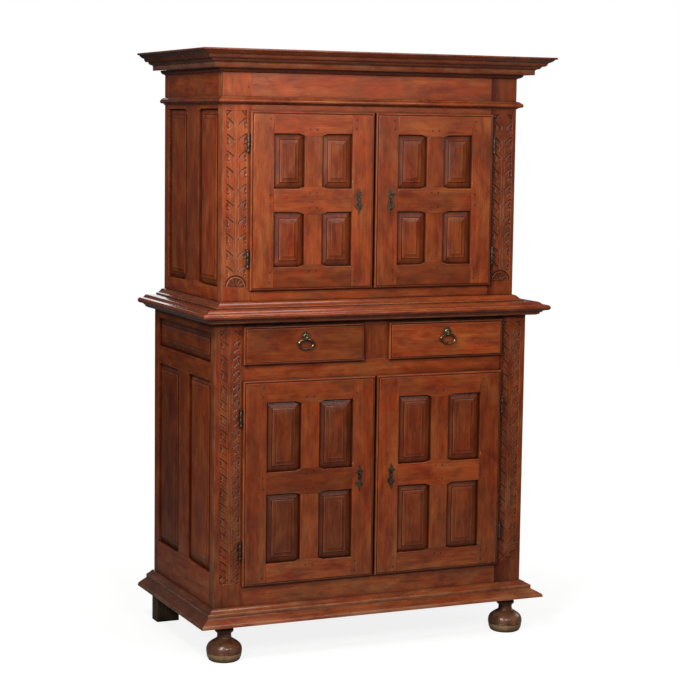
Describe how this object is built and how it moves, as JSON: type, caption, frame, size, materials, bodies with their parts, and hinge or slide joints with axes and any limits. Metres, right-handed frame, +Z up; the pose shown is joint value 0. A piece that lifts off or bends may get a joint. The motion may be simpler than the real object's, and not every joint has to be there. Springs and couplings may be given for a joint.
{
  "type": "two-part panelled cupboard",
  "caption": "Two-part panelled wooden cupboard with pairs of hinged doors above and below, drawers at the waist, a deep stepped cornice and turned front feet.",
  "frame": {"origin": "on the floor, under the middle of the cupboard's overall width and depth", "axes": "+X to the viewer's right across the front, -Y out of the front, +Z up"},
  "size_m": [1.316, 0.695, 2.06],
  "materials": {
    "case_wood": "waxed, aged red-brown",
    "front_wood": "waxed, aged red-brown",
    "panel_wood": "waxed, darker in the bevels",
    "inner_wood": "bare, aged",
    "foot_wood": "turned and waxed, dark",
    "old_brass": "aged, dull",
    "old_iron": "aged, dark"
  },
  "bodies": {
    "case": {"base": "case_wood", "lower_front_frame": "front_wood", "lower_left_side": "case_wood", "lower_right_side": "case_wood", "lower_back": "inner_wood", "lower_bottom": "inner_wood", "drawer_deck": "inner_wood", "waist_board": "case_wood", "upper_base_board": "case_wood", "upper_front_frame": "front_wood", "upper_left_side": "case_wood", "upper_right_side": "case_wood", "upper_back": "inner_wood", "upper_shelf": "inner_wood", "frieze_moulding": "case_wood", "cornice": "case_wood", "front_left_ball_foot": "foot_wood", "front_right_ball_foot": "foot_wood", "rear_left_block_foot": "foot_wood", "rear_right_block_foot": "foot_wood", "upper_left_bottom_hinge_pin": "old_iron", "upper_left_top_hinge_pin": "old_iron", "upper_right_bottom_hinge_pin": "old_iron", "upper_right_top_hinge_pin": "old_iron", "lower_left_bottom_hinge_pin": "old_iron", "lower_left_top_hinge_pin": "old_iron", "lower_right_bottom_hinge_pin": "old_iron", "lower_right_top_hinge_pin": "old_iron"},
    "upper_left_door": {"upper_left_door_frame": "front_wood", "upper_left_door_panel_bottom_left": "panel_wood", "upper_left_door_panel_bottom_right": "panel_wood", "upper_left_door_panel_top_left": "panel_wood", "upper_left_door_panel_top_right": "panel_wood", "upper_left_door_escutcheon": "old_brass"},
    "upper_right_door": {"upper_right_door_frame": "front_wood", "upper_right_door_panel_bottom_left": "panel_wood", "upper_right_door_panel_bottom_right": "panel_wood", "upper_right_door_panel_top_left": "panel_wood", "upper_right_door_panel_top_right": "panel_wood", "upper_right_door_escutcheon": "old_brass"},
    "lower_left_door": {"lower_left_door_frame": "front_wood", "lower_left_door_panel_bottom_left": "panel_wood", "lower_left_door_panel_bottom_right": "panel_wood", "lower_left_door_panel_top_left": "panel_wood", "lower_left_door_panel_top_right": "panel_wood", "lower_left_door_escutcheon": "old_brass"},
    "lower_right_door": {"lower_right_door_frame": "front_wood", "lower_right_door_panel_bottom_left": "panel_wood", "lower_right_door_panel_bottom_right": "panel_wood", "lower_right_door_panel_top_left": "panel_wood", "lower_right_door_panel_top_right": "panel_wood", "lower_right_door_escutcheon": "old_brass"},
    "upper_lock_bolt": {"upper_right_door_lock_bolt": "old_iron"},
    "lower_lock_bolt": {"lower_right_door_lock_bolt": "old_iron"},
    "left_drawer": {"left_drawer_front": "front_wood", "left_drawer_box": "inner_wood"},
    "right_drawer": {"right_drawer_front": "front_wood", "right_drawer_box": "inner_wood"},
    "left_pull_ring": {"left_drawer_ring": "old_brass"},
    "right_pull_ring": {"right_drawer_ring": "old_brass"}
  },
  "joints": [
    {"name": "upper_left_door_hinge", "type": "hinge", "parent": "case", "child": "upper_left_door", "pos_m": [-0.465, -0.25, 1.558], "axis": [0, 0, -1], "range_deg": [0, 160]},
    {"name": "upper_right_door_hinge", "type": "hinge", "parent": "case", "child": "upper_right_door", "pos_m": [0.465, -0.25, 1.558], "axis": [0, 0, 1], "range_deg": [0, 160]},
    {"name": "lower_left_door_hinge", "type": "hinge", "parent": "case", "child": "lower_left_door", "pos_m": [-0.499, -0.287, 0.6045], "axis": [0, 0, -1], "range_deg": [0, 160]},
    {"name": "lower_right_door_hinge", "type": "hinge", "parent": "case", "child": "lower_right_door", "pos_m": [0.499, -0.287, 0.6045], "axis": [0, 0, 1], "range_deg": [0, 160]},
    {"name": "upper_lock_bolt_slide", "type": "slide", "parent": "upper_right_door", "child": "upper_lock_bolt", "axis": [-1, 0, 0], "range_m": [0, 0.012]},
    {"name": "lower_lock_bolt_slide", "type": "slide", "parent": "lower_right_door", "child": "lower_lock_bolt", "axis": [-1, 0, 0], "range_m": [0, 0.012]},
    {"name": "left_drawer_slide", "type": "slide", "parent": "case", "child": "left_drawer", "axis": [0, -1, 0], "range_m": [0, 0.42]},
    {"name": "right_drawer_slide", "type": "slide", "parent": "case", "child": "right_drawer", "axis": [0, -1, 0], "range_m": [0, 0.42]},
    {"name": "left_ring_swing", "type": "hinge", "parent": "left_drawer", "child": "left_pull_ring", "pos_m": [-0.2695, -0.3015, 1.094], "axis": [-1, 0, 0], "range_deg": [-4, 165]},
    {"name": "right_ring_swing", "type": "hinge", "parent": "right_drawer", "child": "right_pull_ring", "pos_m": [0.2695, -0.3015, 1.094], "axis": [-1, 0, 0], "range_deg": [-4, 165]}
  ]
}
